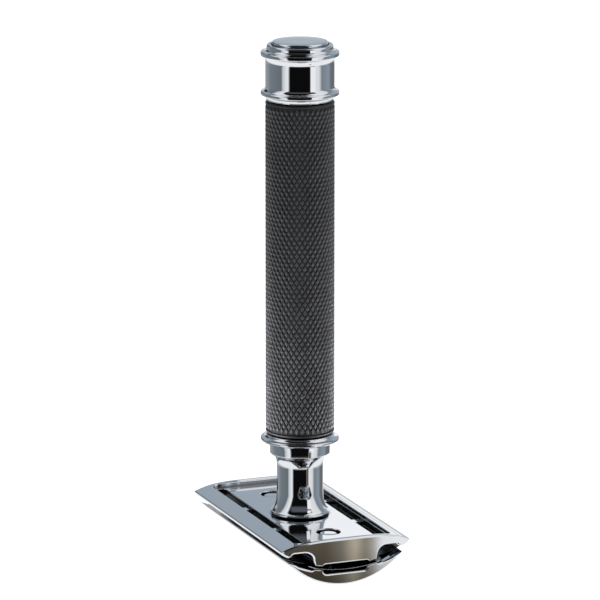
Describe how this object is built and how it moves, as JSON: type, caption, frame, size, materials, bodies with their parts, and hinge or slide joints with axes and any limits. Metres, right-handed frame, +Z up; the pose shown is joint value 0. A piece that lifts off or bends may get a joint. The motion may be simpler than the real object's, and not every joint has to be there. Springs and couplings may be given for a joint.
{
  "type": "double-edge safety razor",
  "caption": "Three-piece double-edge safety razor with an arched guard plate, a curved cap and a black knurled grip between turned chrome ends.",
  "frame": {"origin": "the lowest point of the cap's crown, on the handle's axis", "axes": "+Z up the handle's axis from the cap to the end disc, +X along the head's length, +Y across the head from one guard bar to the other"},
  "size_m": [0.043, 0.0232, 0.0894],
  "materials": {
    "polished_chrome": "mirror-polished chrome plating",
    "black_grip": "satin black coating over a fine diamond knurl",
    "stud_steel": "turned steel",
    "blade_steel": "rolled blade steel with ground edges"
  },
  "bodies": {
    "head_cap": {"cap": "polished_chrome", "threaded_stud": "stud_steel"},
    "blade": {"blade": "blade_steel"},
    "guard": {"guard_plate": "polished_chrome"},
    "handle": {"neck": "polished_chrome", "collar_ring": "polished_chrome", "handle_core": "stud_steel", "grip_sleeve": "black_grip", "end_knob": "polished_chrome", "end_disc": "polished_chrome"}
  },
  "joints": [
    {"name": "guard_slide", "type": "slide", "parent": "head_cap", "child": "guard", "axis": [0, 0, 1], "range_m": [0, 0.0064]},
    {"name": "handle_turn", "type": "hinge", "parent": "guard", "child": "handle", "pos_m": [0, 0, 0.0083], "axis": [0, 0, 1], "range_deg": [0, 2880]},
    {"name": "blade_slide", "type": "slide", "parent": "head_cap", "child": "blade", "axis": [0, 0, 1], "range_m": [0, 0.0032]}
  ],
  "couplings": [
    {"joint": "handle_turn", "follows": "guard_slide", "rad_per_m": 7854},
    {"joint": "blade_slide", "follows": "guard_slide", "ratio": 0.5}
  ]
}
